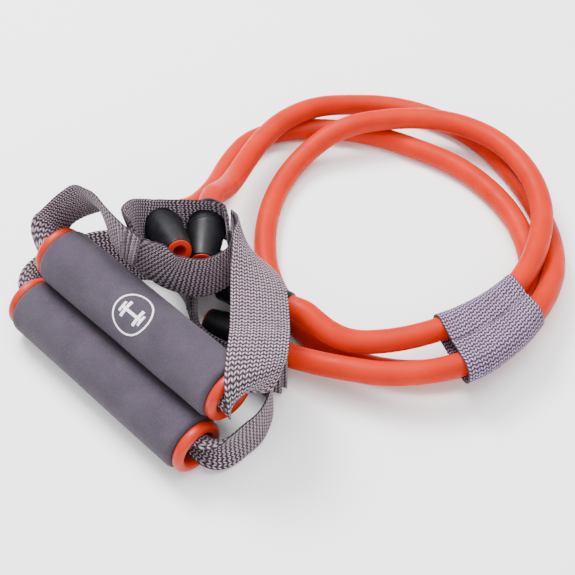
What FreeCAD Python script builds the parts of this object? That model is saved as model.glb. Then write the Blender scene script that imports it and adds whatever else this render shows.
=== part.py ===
# Resistance band: two rubber tubes, two webbing handles with foam grips, one keeper sleeve.
# The band lies on a floor at z = 0, as if put down after use. Millimetres, +Z up.
# Origin: on the floor under the middle of the lower grip, +X along both grips.

import FreeCAD, Part
import math
import os

V = FreeCAD.Vector
X_AXIS = V(1, 0, 0)

# Driving dimensions
TUBE_R = 6.5                 # rubber tube, outside
TUBE_BORE_R = 3.5
WEB_WIDTH = 30.0             # webbing
WEB_THICK = 1.8
FIT_GAP = 0.3                # clearance between neighbouring pieces
TOUCH_GAP = 0.1              # clearance between pieces that are glued
OVERCUT = 1.0                # how far a cutter reaches past what it cuts

GRIP_R = 16.5                # foam, outside
GRIP_LENGTH = 126.0
GRIP_BORE_R = 9.4            # bore that the strap runs through
CORE_R = 11.0                # plastic core tube, outside
FOAM_EDGE_R = 2.5
CAP_COLLAR = 8.0             # how far an end cap reaches into the foam
CAP_R = 15.0                 # rim of the end cap
CAP_WIDTH = 5.8

LOWER_CENTRE = V(0, 0, GRIP_R)
UPPER_CENTRE = V(2, 22.2, 41.3)

BOOT_FLANGE_R = 11.8
BOOT_FLANGE = 2.4
BOOT_BASE_R = 10.4
BOOT_TIP_R = 7.3
BOOT_NECK = 8.0              # strain relief behind the flange
BOOT_NECK_R = 8.6
BOOT_COLLAR = 9.0            # straight part in front of the flange
BOOT_LIP_R = 7.9
TUBE_END_PROUD = 0.6
BOOT_HOLE_START = 2.0         # opening in the webbing, from the boot's tail
BOOT_HOLE_LENGTH = 18.0

CURL_ANGLE = math.radians(235)   # how far the webbing rolls up inside a grip
FLAT_ANGLE = 0.01                # bend of webbing that counts as flat
SECTION_STEPS = 8                # facets across a curled strap
STATION_STEPS = 3                # sections between two stations of a strap

SLEEVE_WALL = 1.8
SLEEVE_BORE_R = TUBE_R + FIT_GAP
SLEEVE_ARC_STEPS = 10
SLEEVE_LONG_SPAN = slice(36, 44)     # corners of each route near the sleeve
SLEEVE_SHORT_SPAN = slice(17, 23)

# Routes of the two tubes: corner points of straight runs, joined by arcs in make_tube
TUBE_LONG = [
    (-45, 75, 43), (-52, 78, 40), (-57, 84, 35), (-60, 92, 29), (-60, 102, 22.5), (-60, 116, 15.5),
    (-66, 136, 9.5), (-75, 158, 6.7), (-79, 182, 6.5),
    (-67, 206, 6.5), (-46, 226, 6.5), (-22, 240, 6.5), (3, 248, 6.5), (29, 254, 6.5), (56, 252, 6.5),
    (81, 244, 6.5), (103, 229, 6.5), (120, 209, 6.5), (131, 186, 6.5), (134, 160, 6.5), (126, 134, 6.5),
    (109, 113, 6.5), (87, 99, 6.5), (61, 93, 6.5), (35, 98, 6.5), (10, 108, 6.5), (-10, 124, 6.5),
    (-27, 145, 6.5), (-39, 169, 6.5), (-43, 194, 10), (-36, 218, 20), (-21, 242, 20.5), (-3, 261, 20.5),
    (19, 273, 20.5), (45, 276, 20.5), (71, 268, 20.5), (93, 252, 20.5), (108, 230, 21.5), (118, 205, 22),
    (121, 178, 22), (115, 152, 22), (104, 127, 22), (92, 110, 21.5), (81, 99, 21.8),
    (70.5, 93.5, 24.8), (61, 92, 27.8), (52, 92.3, 29), (44, 90, 27.5)]
TUBE_SHORT = [
    (-27, 99, 45), (-33.7, 106.4, 43.6), (-38, 115, 39), (-43, 126, 33), (-49, 139, 27),
    (-56, 155, 22.5), (-63, 176, 21), (-66, 199, 20.5),
    (-61, 223, 18.5), (-53, 246, 10), (-38, 265, 6.5), (-15, 276, 6.5), (11, 281, 6.5), (37, 279, 6.5),
    (63, 271, 6.5), (87, 259, 6.5), (109, 243, 7.5), (126, 221, 13), (136, 196, 18), (140, 170, 22),
    (138, 142, 22), (126, 117, 21.5), (108, 97, 20.5), (90, 86.5, 18.8),
    (74, 79.5, 15.5), (59.1, 73.9, 13.3), (49.5, 71, 13.5)]

# Boots: end of the tube's free route behind the boot, and the middle of the cone's tip
BOOTS = {
    "upper_left": ((-45, 75, 43), (-5, 58, 60)),
    "upper_right": ((-27, 99, 45), (2, 67, 49)),
    "lower_left": ((44, 90, 27.5), (3, 78, 20)),
    "lower_right": ((49.5, 71, 13.5), (11.2, 59.5, 14.3)),
}

# Webbing stations: middle of the web, direction of its width, curl from 0 (flat) to 1 (rolled up)
UPPER_STRAP = [
    ((-13, 37.5, 69.5), (0, 0.1, -1), 0), ((-22, 36, 72), (0, 0, -1), 0),
    ((-36, 38, 73), (-0.15, 0.09, -0.98), 0), ((-49, 43, 72), (-0.2, 0.36, -0.9), 0),
    ((-61, 45, 67), (0, 0.42, -0.91), 0), ((-71, 40, 58), (0.12, 0.6, -0.79), 0),
    ((-75, 32, 50), (0.06, 0.8, -0.6), 0.3), ((-72, 25, 46), (0, 0.97, -0.25), 0.8),
    ((-64, 22.2, 44.4), (0, 1, 0), 1), ((-30, 22.2, 44.4), (0, 1, 0), 1),
    ((34, 22.2, 44.4), (0, 1, 0), 1), ((67, 22.2, 44.4), (0, 1, 0), 1),
    ((73.5, 22.8, 44.8), (0.05, 1, 0), 0.75), ((78, 25.5, 48), (0.18, 0.98, 0), 0.3),
    ((79.3, 28.5, 53.5), (0.3, 0.95, 0), 0.05), ((76.5, 32.5, 59.5), (0.62, 0.78, 0.02), 0),
    ((68, 43, 60.5), (0.72, 0.69, 0.03), 0),
    ((56, 56, 57), (0.64, 0.76, -0.1), 0), ((38, 73, 55), (0.49, 0.81, -0.3), 0),
    ((21.5, 85.5, 55.5), (0.1, 0.7, -0.7), 0), ((9, 92.5, 53), (0, 0.3, -0.95), 0),
    ((-2, 97.3, 51), (0, 0.05, -1), 0)]
UPPER_FRONT_BAND = [
    ((-25, 39.3, 71), (0, 0.15, -1), 0), ((-18, 41, 67), (0, 0.15, -1), 0),
    ((-12, 45, 60), (0, 0.05, -1), 0), ((-3, 50, 52), (0, 0, -1), 0), ((8.5, 60, 48), (0, 0, -1), 0),
    ((12, 74, 46.3), (0, 0, -1), 0), ((8.5, 83.5, 46.5), (0, 0, -1), 0),
    ((1.5, 90.3, 47.3), (0, 0, -1), 0), ((-5, 95.3, 48), (0, 0, -1), 0)]
UPPER_BACK_BAND = [
    ((-20, 43.5, 69), (0, 0.15, -1), 0), ((-27.5, 45, 67.5), (0, 0.1, -1), 0),
    ((-34, 52, 61), (0.15, 0, -1), 0), ((-37.5, 61.5, 51.5), (0.3, -0.1, -0.95), 0),
    ((-34.3, 70.5, 47.5), (0.36, -0.18, -0.91), 0), ((-27.5, 80.5, 47), (0.2, -0.1, -0.97), 0),
    ((-18.7, 89.8, 47.5), (0.08, -0.05, -1), 0), ((-14.5, 94, 48), (0, 0, -1), 0),
    ((-10.5, 95.6, 48), (0, 0, -1), 0), ((-6, 93, 48), (0, 0, -1), 0), ((0, 88.4, 47.3), (0, 0, -1), 0)]
LOWER_STRAP = [
    ((1, 57.5, 15.6), (0, 0, -1), 0), ((-8, 62.5, 15.6), (0, 0, -1), 0),
    ((-20, 67.5, 15.6), (0, 0, -1), 0), ((-36, 69, 15.6), (0.15, -0.1, -0.98), 0),
    ((-52, 62, 14.6), (0.3, -0.3, -0.88), 0), ((-65, 51, 13.3), (0.45, -0.42, -0.79), 0),
    ((-72, 37, 13), (0.6, -0.2, -0.75), 0), ((-74.5, 22, 14), (0.5, 0, -0.85), 0.1),
    ((-74, 9, 15.5), (0.2, 0, -0.98), 0.5), ((-69, 3.2, 16.5), (0, 0, -1), 0.95),
    ((-62, 3.2, 16.5), (0, 0, -1), 1), ((-30, 3.2, 16.5), (0, 0, -1), 1),
    ((34, 3.2, 16.5), (0, 0, -1), 1), ((64, 3.2, 16.5), (0, 0, -1), 1),
    ((72, 4.5, 16.2), (0, 0, -1), 0.8), ((77.5, 11, 15.7), (0, 0, -1), 0.3),
    ((80.5, 22, 15.6), (0, 0, -1), 0), ((80.3, 31, 15.6), (0, 0, -1), 0),
    ((77.5, 39, 15.6), (0, 0, -1), 0), ((73, 46.5, 15.6), (0, 0, -1), 0),
    ((67, 51.5, 15.6), (0, 0, -1), 0), ((59, 52.5, 15.6), (0, 0, -1), 0),
    ((51, 50.3, 15.6), (0, 0, -1), 0)]
LOWER_FRONT_BAND = [
    ((-16, 69.3, 15.6), (0, 0, -1), 0), ((-8, 65.5, 15.6), (0, 0, -1), 0),
    ((1, 60.5, 15.6), (0, 0, -1), 0), ((10, 51.5, 15.6), (0, 0, -1), 0),
    ((23, 46.5, 15.6), (0, 0, -1), 0), ((36, 48, 15.6), (0, 0, -1), 0),
    ((50, 53, 15.6), (0, 0, -1), 0), ((60, 56.4, 15.6), (0, 0, -1), 0), ((67, 60, 15.6), (0, 0, -1), 0)]
LOWER_BACK_BAND = [
    ((-9, 70, 15.6), (0, 0, -1), 0), ((-16, 75, 15.6), (0, 0, -1), 0), ((-17, 83, 15.6), (0, 0, -1), 0),
    ((-10, 89.5, 15.6), (0, 0, -1), 0), ((-1, 93.2, 15.2), (0, 0, -1), 0),
    ((7, 94.2, 14.9), (0, 0, -1), 0), ((14.5, 93.4, 22), (0, 0.25, -0.97), 0),
    ((22, 94.2, 27.8), (0, 0.45, -0.89), 0), ((27.5, 94.8, 28.3), (0, 0.5, -0.87), 0),
    ((30.8, 91.5, 27.5), (0, 0.48, -0.88), 0),
    ((32.4, 86.6, 25.4), (-0.02, 0.47, -0.88), 0), ((34.8, 77, 20), (0, 0.35, -0.93), 0),
    ((37.7, 67.5, 15.9), (0, 0.1, -1), 0), ((39.8, 59.8, 15.6), (0, 0, -1), 0),
    ((41.8, 55.8, 15.6), (0, 0, -1), 0), ((45.5, 54.9, 15.6), (0, 0, -1), 0),
    ((52, 57.3, 15.6), (0, 0, -1), 0), ((60, 60.5, 15.6), (0, 0, -1), 0), ((67, 64, 15.6), (0, 0, -1), 0)]

# Keeper sleeve: pairs of tube centres, inner tube then outer tube, along the sleeve
SLEEVE_STATIONS = [
    ((108.5, 138, 22), (134, 126, 22)), ((112.5, 148, 22), (138, 138, 22)),
    ((116.5, 161, 22), (140, 153, 22)), ((119, 174, 22), (140.5, 168, 22)),
    ((120, 188, 22), (139, 182, 22))]


def unit(vector):
    """The vector at length 1."""
    return V(vector).multiply(1 / V(vector).Length)


def ring_solid(outer, inner, start, end):
    """A tube along +X from start to end."""
    blank = Part.makeCylinder(outer, end - start, V(start, 0, 0), X_AXIS)
    bore = Part.makeCylinder(inner, end - start + 2 * OVERCUT, V(start - OVERCUT, 0, 0), X_AXIS)
    return blank.cut(bore)


def revolve_profile(points):
    """Revolve a closed outline of (along X, radius) points about the X axis."""
    corners = [V(x, r, 0) for x, r in points]
    wire = Part.makePolygon(corners + [corners[0]])
    return Part.Face(wire).revolve(V(0, 0, 0), X_AXIS, 360)


def aimed(shape, base, direction):
    """Turn a shape made along +X towards direction and move it to base."""
    turned = shape.copy()
    turned.Placement = FreeCAD.Placement(base, FreeCAD.Rotation(X_AXIS, direction))
    return turned


def make_foam():
    """Foam sleeve of one grip, with rounded outer edges."""
    half = GRIP_LENGTH / 2
    foam = ring_solid(GRIP_R, CORE_R + TOUCH_GAP, -half, half)
    rims = [e for e in foam.Edges if abs(e.Length - 2 * math.pi * GRIP_R) < 0.1]
    return foam.makeFillet(FOAM_EDGE_R, rims)


def make_core():
    """Plastic core tube between the two end caps."""
    half = GRIP_LENGTH / 2 - CAP_COLLAR - TOUCH_GAP
    return ring_solid(CORE_R, GRIP_BORE_R, -half, half)


def make_end_cap():
    """End cap at the +X end: a collar inside the foam and a rounded rim outside it."""
    face = GRIP_LENGTH / 2 + TOUCH_GAP
    middle_r = (CAP_R + GRIP_BORE_R) / 2
    belly = face + CAP_WIDTH / 2
    collar = [(face, CORE_R), (face - CAP_COLLAR, CORE_R), (face - CAP_COLLAR, GRIP_BORE_R),
              (belly, GRIP_BORE_R)]
    edges = [Part.LineSegment(V(*collar[i], 0), V(*collar[i + 1], 0)).toShape() for i in range(3)]
    front = Part.Arc(V(belly, GRIP_BORE_R, 0), V(face + CAP_WIDTH, middle_r, 0), V(belly, CAP_R, 0))
    back = Part.Arc(V(belly, CAP_R, 0), V(face + 0.7, CAP_R - 1.2, 0), V(face, middle_r, 0))
    closing = Part.LineSegment(V(face, middle_r, 0), V(face, CORE_R, 0))
    edges += [front.toShape(), back.toShape(), closing.toShape()]
    return Part.Face(Part.Wire(edges)).revolve(V(0, 0, 0), X_AXIS, 360)


def make_boot(length):
    """Rubber boot along +X: strain relief, flange, collar and cone, bored for the tube."""
    flange = BOOT_NECK + BOOT_FLANGE
    outline = [(0, TUBE_R), (0, BOOT_LIP_R - 0.4), (0.6, BOOT_LIP_R), (BOOT_NECK, BOOT_NECK_R),
               (BOOT_NECK, BOOT_FLANGE_R - 0.6), (BOOT_NECK + 0.6, BOOT_FLANGE_R),
               (flange - 0.6, BOOT_FLANGE_R), (flange, BOOT_FLANGE_R - 0.6), (flange, BOOT_BASE_R),
               (flange + BOOT_COLLAR, BOOT_BASE_R - 0.4), (length - 2, BOOT_TIP_R + 0.2),
               (length - 0.5, BOOT_TIP_R - 0.3), (length, BOOT_TIP_R - 0.6), (length, TUBE_R)]
    return revolve_profile(outline)


def catmull(values, position):
    """Smooth value between stations; position counts stations from 0."""
    last = len(values) - 1
    i = min(int(position), last - 1)
    t = position - i
    before = values[max(i - 1, 0)]
    start = values[i]
    end = values[i + 1]
    after = values[min(i + 2, last)]
    out = []
    for a, b, c, d in zip(before, start, end, after):
        bend = 2 * a - 5 * b + 4 * c - d
        twist = 3 * b - a - 3 * c + d
        out.append(0.5 * (2 * b + (c - a) * t + bend * t * t + twist * t * t * t))
    return out


def web_section(centre, width, normal, curl):
    """Closed outline across the webbing; a curled one wraps towards minus normal."""
    angle = max(curl * CURL_ANGLE, FLAT_ANGLE)
    radius = WEB_WIDTH / angle
    middle = radius * math.sin(angle / 2) / (angle / 2)
    outer = []
    inner = []
    for step in range(SECTION_STEPS + 1):
        phi = angle * (step / SECTION_STEPS - 0.5)
        out = width * math.sin(phi) + normal * math.cos(phi)
        base = centre - normal * middle
        outer.append(base + out * (radius + WEB_THICK / 2))
        inner.append(base + out * (radius - WEB_THICK / 2))
    corners = outer + inner[::-1]
    return Part.makePolygon(corners + [corners[0]])


def make_web(stations):
    """A length of webbing through its stations."""
    centres = [s[0] for s in stations]
    widths = [s[1] for s in stations]
    curls = [(s[2],) for s in stations]
    count = (len(stations) - 1) * STATION_STEPS
    places = [i / STATION_STEPS for i in range(count + 1)]
    points = [V(*catmull(centres, p)) for p in places]
    wires = []
    for i, place in enumerate(places):
        along = unit(points[min(i + 1, count)] - points[max(i - 1, 0)])
        width = V(*catmull(widths, place))
        width = unit(width - along * width.dot(along))
        curl = min(max(catmull(curls, place)[0], 0), 1)
        wires.append(web_section(points[i], width, along.cross(width), curl))
    return Part.makeLoft(wires, True, True)


def make_tube_path(route, report):
    """Wire of straight runs and tangent arcs through a route's corners."""
    corners = [V(*p) for p in route]
    edges = []
    radii = []
    start = corners[0]
    for i in range(1, len(corners) - 1):
        back = corners[i - 1] - corners[i]
        ahead = corners[i + 1] - corners[i]
        turn = math.pi - back.getAngle(ahead)
        cut = 0.45 * min(back.Length, ahead.Length)
        radius = cut / math.tan(turn / 2)
        arc_start = corners[i] + unit(back) * cut
        arc_end = corners[i] + unit(ahead) * cut
        inward = unit(unit(back) + unit(ahead))
        sagitta = math.hypot(cut, radius) - radius
        edges.append(Part.LineSegment(start, arc_start).toShape())
        edges.append(Part.Arc(arc_start, corners[i] + inward * sagitta, arc_end).toShape())
        radii.append(radius)
        start = arc_end
    edges.append(Part.LineSegment(start, corners[-1]).toShape())
    path = Part.Wire(edges)
    if report:
        print("tube route length %.0f, arc radii" % path.Length, [round(r) for r in radii])
    return path


def sweep_circle(path, radius):
    """Solid of a circle swept along a path."""
    first = path.Edges[0]
    direction = first.tangentAt(first.FirstParameter)
    circle = Part.Wire(Part.Circle(first.valueAt(first.FirstParameter), direction, radius).toShape())
    return path.makePipeShell([circle], True, True)


def make_tube(route):
    """A free tube along its route."""
    path = make_tube_path(route, True)
    tube = sweep_circle(path, TUBE_R).cut(sweep_circle(path, TUBE_BORE_R))
    expected = math.pi * (TUBE_R ** 2 - TUBE_BORE_R ** 2) * path.Length
    print("tube volume %.0f, section times length %.0f" % (tube.Volume, expected))
    return tube


def sleeve_section(inner, outer):
    """Closed stadium outline round two tube centres."""
    across = unit(outer - inner)
    up = V(0, 0, 1)
    radius = SLEEVE_BORE_R + SLEEVE_WALL
    corners = []
    for centre, start in ((outer, -0.5), (inner, 0.5)):
        for step in range(SLEEVE_ARC_STEPS + 1):
            angle = math.pi * (start + step / SLEEVE_ARC_STEPS)
            corners.append(centre + across * (radius * math.cos(angle)) + up * (radius * math.sin(angle)))
    return Part.makePolygon(corners + [corners[0]])


def make_sleeve():
    """Keeper sleeve: one flat block of webbing with a channel for each tube."""
    pairs = [(V(*inner), V(*outer)) for inner, outer in SLEEVE_STATIONS]
    block = Part.makeLoft([sleeve_section(*pair) for pair in pairs], True, True)
    for route in (TUBE_LONG[SLEEVE_LONG_SPAN], TUBE_SHORT[SLEEVE_SHORT_SPAN]):
        block = block.cut(sweep_circle(make_tube_path(route, False), SLEEVE_BORE_R))
    return block


def grip_parts(name, centre):
    """Foam, core and two end caps of one grip."""
    cap = make_end_cap()
    mirrored = cap.mirror(V(0, 0, 0), X_AXIS)
    pieces = {"foam": make_foam(), "core": make_core(), "cap_left": mirrored, "cap_right": cap}
    return {name + "_grip_" + key: shape.translated(centre) for key, shape in pieces.items()}


def boot_parts():
    """Every boot with the tube end that it holds."""
    parts = {}
    for name, (tail, tip) in BOOTS.items():
        axis = V(*tip) - V(*tail)
        parts[name + "_boot"] = aimed(make_boot(axis.Length), V(*tail), axis)
        end = ring_solid(TUBE_R, TUBE_BORE_R, 0, axis.Length + TUBE_END_PROUD)
        parts[name + "_tube_end"] = aimed(end, V(*tail), axis)
    return parts


def boot_holes(band, names):
    """Cut the openings that the boots pass through."""
    for name in names:
        tail, tip = (V(*p) for p in BOOTS[name])
        axis = unit(tip - tail)
        start = tail + axis * BOOT_HOLE_START
        hole = Part.makeCylinder(BOOT_BASE_R + FIT_GAP, BOOT_HOLE_LENGTH, start, axis)
        band = band.cut(hole)
    return band


def build():
    """All sub-parts by node name."""
    parts = {}
    parts.update(grip_parts("upper", UPPER_CENTRE))
    parts.update(grip_parts("lower", LOWER_CENTRE))
    parts.update(boot_parts())
    parts["upper_strap"] = make_web(UPPER_STRAP)
    parts["upper_pocket_front"] = make_web(UPPER_FRONT_BAND)
    parts["upper_pocket_back"] = boot_holes(make_web(UPPER_BACK_BAND), ("upper_left", "upper_right"))
    parts["lower_strap"] = make_web(LOWER_STRAP)
    parts["lower_pocket_front"] = make_web(LOWER_FRONT_BAND)
    parts["lower_pocket_back"] = boot_holes(make_web(LOWER_BACK_BAND), ("lower_left", "lower_right"))
    parts["tube_long"] = make_tube(TUBE_LONG)
    parts["tube_short"] = make_tube(TUBE_SHORT)
    parts["keeper_sleeve"] = make_sleeve()
    return parts


os.makedirs("parts", exist_ok=True)
for node, solid in build().items():
    solid.exportStep("parts/" + node + ".step")
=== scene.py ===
"""Resistance band: two looped rubber tubes, two webbing handles with foam grips, a sleeve."""
import bpy
import math
import numpy as np
from mathutils import Matrix, Vector


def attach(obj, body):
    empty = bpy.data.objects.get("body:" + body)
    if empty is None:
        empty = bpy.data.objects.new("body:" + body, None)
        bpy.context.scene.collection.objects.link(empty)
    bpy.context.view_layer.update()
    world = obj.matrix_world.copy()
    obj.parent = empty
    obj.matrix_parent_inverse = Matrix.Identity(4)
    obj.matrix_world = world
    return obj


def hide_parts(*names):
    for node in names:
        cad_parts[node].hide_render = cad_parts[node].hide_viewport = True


MM = 0.001
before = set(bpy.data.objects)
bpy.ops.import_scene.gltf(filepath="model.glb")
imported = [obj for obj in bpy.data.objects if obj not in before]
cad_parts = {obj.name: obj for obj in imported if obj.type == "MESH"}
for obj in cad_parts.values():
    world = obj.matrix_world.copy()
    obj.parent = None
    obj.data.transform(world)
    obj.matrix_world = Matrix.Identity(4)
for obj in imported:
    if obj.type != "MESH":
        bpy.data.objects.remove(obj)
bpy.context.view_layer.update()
collection = bpy.context.scene.collection

# ---------------------------------------------------------------- camera
camera_data = bpy.data.cameras.new("camera")
camera_data.lens = 72
camera_data.sensor_width = 36
camera = bpy.data.objects.new("camera", camera_data)
camera.location = (0.30717, -0.18348, 0.51261)
camera.rotation_euler = (math.radians(39), 0, math.radians(44.1))
collection.objects.link(camera)
bpy.context.scene.camera = camera

# ---------------------------------------------------------------- the tubes' routes (mm)
# As in the CAD, except for the first points behind the upper boots.
TUBE_R = 6.5
TUBE_BORE_R = 3.5
TUBE_LONG = [
    (-45, 75, 43), (-51.5, 77.8, 40.2), (-56, 84, 33), (-58, 92, 25), (-57, 102, 17.5),
    (-58, 117, 11), (-64, 137, 7.3), (-74, 158, 6.6), (-79, 182, 6.5),
    (-67, 206, 6.5), (-46, 226, 6.5), (-22, 240, 6.5), (3, 248, 6.5), (29, 254, 6.5),
    (56, 252, 6.5), (81, 244, 6.5), (103, 229, 6.5), (120, 209, 6.5), (131, 186, 6.5),
    (134, 160, 6.5), (126, 134, 6.5), (109, 113, 6.5), (87, 99, 6.5), (61, 93, 6.5),
    (35, 98, 6.5), (10, 108, 6.5), (-10, 124, 6.5), (-27, 145, 6.5), (-39, 169, 6.5),
    (-43, 194, 10), (-36, 218, 20), (-21, 242, 20.5), (-3, 261, 20.5), (19, 273, 20.5),
    (45, 276, 20.5), (71, 268, 20.5), (93, 252, 20.5), (108, 230, 21.5), (118, 205, 22),
    (121, 178, 22), (115, 152, 22), (104, 127, 22), (92, 110, 21.5), (81, 99, 21.8),
    (70.5, 93.5, 24.8), (61, 92, 27.8), (52, 92.3, 29), (44, 90, 27.5)]
TUBE_SHORT = [
    (-27, 99, 45), (-33.7, 106.4, 43.6), (-37.5, 115, 37.5), (-42, 126, 30), (-48.5, 139, 24.5),
    (-56, 155, 21.5), (-63, 176, 21), (-66, 199, 20.5),
    (-61, 223, 18.5), (-53, 246, 10), (-38, 265, 6.5), (-15, 276, 6.5), (11, 281, 6.5),
    (37, 279, 6.5), (63, 271, 6.5), (87, 259, 6.5), (109, 243, 7.5), (126, 221, 13),
    (136, 196, 18), (140, 170, 22),
    (138, 142, 22), (126, 117, 21.5), (108, 97, 20.5), (90, 86.5, 18.8),
    (74, 79.5, 15.5), (59.1, 73.9, 13.3), (49.5, 71, 13.5)]


def metres(point):
    """A point in metres."""
    return Vector(point) * MM


def make_tube(name, route):
    """A free tube: one smooth spline with the route's corners as its control points."""
    curve = bpy.data.curves.new(name, "CURVE")
    curve.dimensions = "3D"
    spline = curve.splines.new("NURBS")
    spline.points.add(len(route) - 1)
    for point, corner in zip(spline.points, route):
        point.co = (*metres(corner), 1)
        point.radius = TUBE_R * MM
    spline.order_u = 3
    spline.use_endpoint_u = True
    spline.resolution_u = 10
    curve.bevel_depth = 1    # times each point's radius
    curve.bevel_resolution = 8
    tube = bpy.data.objects.new(name, curve)
    collection.objects.link(tube)
    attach(tube, "root")
    return tube


tube_long = make_tube("tube_long_rubber", TUBE_LONG)
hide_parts("tube_long")
tube_short = make_tube("tube_short_rubber", TUBE_SHORT)
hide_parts("tube_short")


# ---------------------------------------------------------------- materials
class Shader:
    """Builds one node material."""

    def __init__(self, name, **sockets):
        self.material = bpy.data.materials.new(name)
        self.material.use_nodes = True
        self.nodes = self.material.node_tree.nodes
        self.links = self.material.node_tree.links
        self.bsdf = self.nodes["Principled BSDF"]
        for socket, value in sockets.items():
            self.bsdf.inputs[socket.replace("_", " ")].default_value = value

    def plug(self, value, socket):
        """Link a node's output to a socket, or set the socket to a number or colour."""
        if isinstance(value, bpy.types.NodeSocket):
            self.links.new(value, socket)
        else:
            socket.default_value = value

    def place(self):
        """Object coordinates."""
        return self.nodes.new("ShaderNodeTexCoord").outputs["Object"]

    def stretched(self, scale):
        """Object coordinates multiplied by a scale along each axis."""
        mapping = self.nodes.new("ShaderNodeMapping")
        self.plug(self.place(), mapping.inputs["Vector"])
        mapping.inputs["Scale"].default_value = scale
        return mapping.outputs["Vector"]

    def noise(self, scale, detail=3, where=None):
        """Noise with scale features to the metre."""
        node = self.nodes.new("ShaderNodeTexNoise")
        self.plug(where or self.place(), node.inputs["Vector"])
        node.inputs["Scale"].default_value = scale
        node.inputs["Detail"].default_value = detail
        return node.outputs["Fac"]

    def cells(self, scale):
        """Distance to the nearest cell centre."""
        node = self.nodes.new("ShaderNodeTexVoronoi")
        self.plug(self.place(), node.inputs["Vector"])
        node.inputs["Scale"].default_value = scale
        return node.outputs["Distance"]

    def maths(self, operation, a, b=0.0, c=0.0):
        """One maths node."""
        node = self.nodes.new("ShaderNodeMath")
        node.operation = operation
        for value, socket in zip((a, b, c), node.inputs):
            self.plug(value, socket)
        return node.outputs[0]

    def ramp(self, value, *stops):
        """Colour ramp from (position, colour) stops."""
        node = self.nodes.new("ShaderNodeValToRGB")
        elements = node.color_ramp.elements
        while len(elements) < len(stops):
            elements.new(0.5)
        for element, (position, colour) in zip(elements, stops):
            element.position = position
            element.color = (*colour, 1)
        self.plug(value, node.inputs["Fac"])
        return node.outputs["Color"]

    def span(self, value, low, high, lowest=0.3, highest=0.7):
        """Value mapped from lowest..highest to low..high."""
        node = self.nodes.new("ShaderNodeMapRange")
        self.plug(value, node.inputs["Value"])
        node.inputs["From Min"].default_value = lowest
        node.inputs["From Max"].default_value = highest
        node.inputs["To Min"].default_value = low
        node.inputs["To Max"].default_value = high
        return node.outputs["Result"]

    def blend(self, factor, a, b, kind="MIX"):
        """Two colours blended."""
        node = self.nodes.new("ShaderNodeMix")
        node.data_type = "RGBA"
        node.blend_type = kind
        self.plug(factor, node.inputs["Factor"])
        self.plug(a, node.inputs[6])
        self.plug(b, node.inputs[7])
        return node.outputs[2]

    def bump(self, height, depth, strength=1.0):
        """Bump of a depth in metres, on top of any earlier one."""
        node = self.nodes.new("ShaderNodeBump")
        node.inputs["Strength"].default_value = strength
        node.inputs["Distance"].default_value = depth
        self.plug(height, node.inputs["Height"])
        before = self.bsdf.inputs["Normal"].links
        if before:
            self.plug(before[0].from_socket, node.inputs["Normal"])
        self.plug(node.outputs["Normal"], self.bsdf.inputs["Normal"])

    def colour(self, value):
        """Base colour."""
        self.plug(value, self.bsdf.inputs["Base Color"])
        return self

    def rough(self, value):
        """Roughness."""
        self.plug(value, self.bsdf.inputs["Roughness"])


def rubber_orange():
    """Natural latex tube: saturated orange, satin, with faint flow marks."""
    s = Shader("orange_rubber", Specular_IOR_Level=0.12)
    blotch = s.noise(45, 4)
    tint = s.ramp(blotch, (0.3, (0.40, 0.0115, 0.0002)), (0.55, (0.46, 0.0145, 0.0003)),
                  (0.75, (0.53, 0.019, 0.0004)))
    dust = s.span(s.noise(700, 5), 0, 0.10, 0.55, 0.8)
    s.colour(s.blend(dust, tint, (0.52, 0.040, 0.006, 1)))
    s.rough(s.span(s.noise(160), 0.40, 0.56))
    s.bump(s.noise(1500, 4), 0.00008, 0.35)
    s.bump(s.noise(60, 2), 0.0006, 0.10)
    return s.material


def plastic_orange():
    """Moulded end rims."""
    s = Shader("orange_plastic", Specular_IOR_Level=0.25)
    s.colour(s.ramp(s.noise(90), (0.3, (0.36, 0.012, 0.0004)), (0.7, (0.44, 0.018, 0.0006))))
    s.rough(s.span(s.noise(400, 4), 0.30, 0.44))
    s.bump(s.noise(2500, 3), 0.00005, 0.3)
    return s.material


def rubber_black():
    """Moulded black rubber boots, with dust in the pores and paler rubbed patches."""
    s = Shader("black_rubber", Specular_IOR_Level=0.22)
    rubbed = s.ramp(s.noise(140, 5), (0.35, (0.0028, 0.0027, 0.0042)),
                    (0.75, (0.0065, 0.006, 0.009)))
    dust = s.span(s.cells(2200), 0.12, 0.0, 0.0, 0.25)
    s.colour(s.blend(dust, rubbed, (0.018, 0.017, 0.022, 1)))
    s.rough(s.span(s.noise(300, 4), 0.36, 0.55))
    s.bump(s.noise(1800, 4), 0.00008, 0.5)
    return s.material


def plastic_dark():
    """Core tubes inside the grips."""
    s = Shader("dark_plastic", Specular_IOR_Level=0.4)
    s.colour(s.ramp(s.noise(200), (0.3, (0.02, 0.02, 0.022)), (0.7, (0.035, 0.034, 0.038))))
    s.rough(s.span(s.noise(500, 4), 0.45, 0.6))
    s.bump(s.noise(2000, 3), 0.00006, 0.3)
    return s.material


def foam_grey():
    """Closed-cell foam: purplish grey with pale flecks and painted shade in its fine pores."""
    s = Shader("grey_foam", Specular_IOR_Level=0.15, Sheen_Weight=0.05, Sheen_Roughness=0.6)
    base = s.ramp(s.noise(60, 5), (0.3, (0.036, 0.028, 0.042)), (0.7, (0.054, 0.043, 0.061)))
    flecks = s.span(s.noise(2600, 4), 0, 0.35, 0.50, 0.75)
    flecked = s.blend(flecks, base, (0.125, 0.10, 0.135, 1))
    # painted shade: near black in each pore, where the cells' hollows fall in shade
    pores = s.span(s.cells(1300), 0.65, 0.0, 0.0, 0.35)
    s.colour(s.blend(pores, flecked, (0.008, 0.006, 0.010, 1)))
    s.rough(s.span(s.noise(900), 0.80, 0.95))
    s.bump(s.cells(1300), 0.00025, 0.55)
    s.bump(s.noise(2600, 5), 0.00012, 0.6)
    return s.material


ZIGZAG = 0.6                 # sway of the ribs, in rows


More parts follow.
